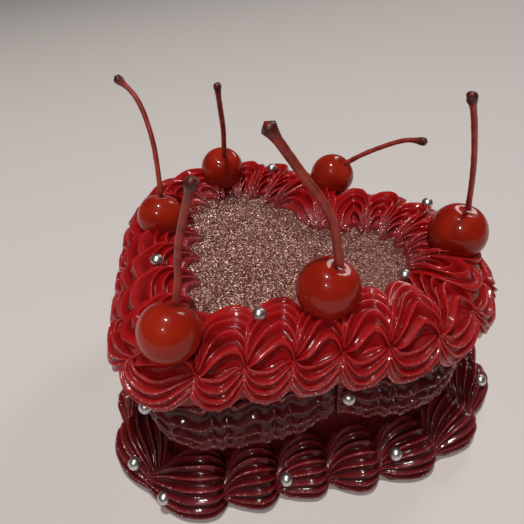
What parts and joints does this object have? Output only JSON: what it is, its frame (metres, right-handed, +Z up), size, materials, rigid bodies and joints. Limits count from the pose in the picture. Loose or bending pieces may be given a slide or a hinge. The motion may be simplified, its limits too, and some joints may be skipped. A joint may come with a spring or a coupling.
{
  "type": "bento cake",
  "caption": "Small heart-shaped iced cake with a scrolled top border, ruffled swags, a shell border round the foot, silver sugar balls and cherries with their stems.",
  "frame": {"origin": "centre of the flat underside, on the table", "axes": "+Z up; the heart's tip points to -Y and its cleft to +Y; +X to the right seen from the tip"},
  "size_m": [0.1376, 0.1213, 0.1025],
  "materials": {
    "crimson_cream": "gloss",
    "dark_cream": "satin",
    "rose_glitter": "satin",
    "cherry_skin": "gloss",
    "cherry_stem": "satin"
  },
  "bodies": {
    "root": {"cake": "rose_glitter", "top_border": "crimson_cream", "foot_border": "crimson_cream", "swag_tip_to_right": "dark_cream", "swag_right_to_lobe": "dark_cream", "swag_round_right_lobe": "dark_cream", "swag_lobe_to_cleft": "dark_cream", "swag_cleft_to_lobe": "dark_cream", "swag_round_left_lobe": "dark_cream", "swag_lobe_to_left": "dark_cream", "swag_left_to_tip": "dark_cream", "cherry_tip": "cherry_skin", "cherry_right": "cherry_skin", "cherry_right_lobe": "cherry_skin", "cherry_cleft": "cherry_skin", "cherry_left_lobe": "cherry_skin", "cherry_left": "cherry_skin", "stem_tip": "cherry_stem", "stem_right": "cherry_stem", "stem_right_lobe": "cherry_stem", "stem_cleft": "cherry_stem", "stem_left_lobe": "cherry_stem", "stem_left": "cherry_stem"}
  },
  "joints": []
}
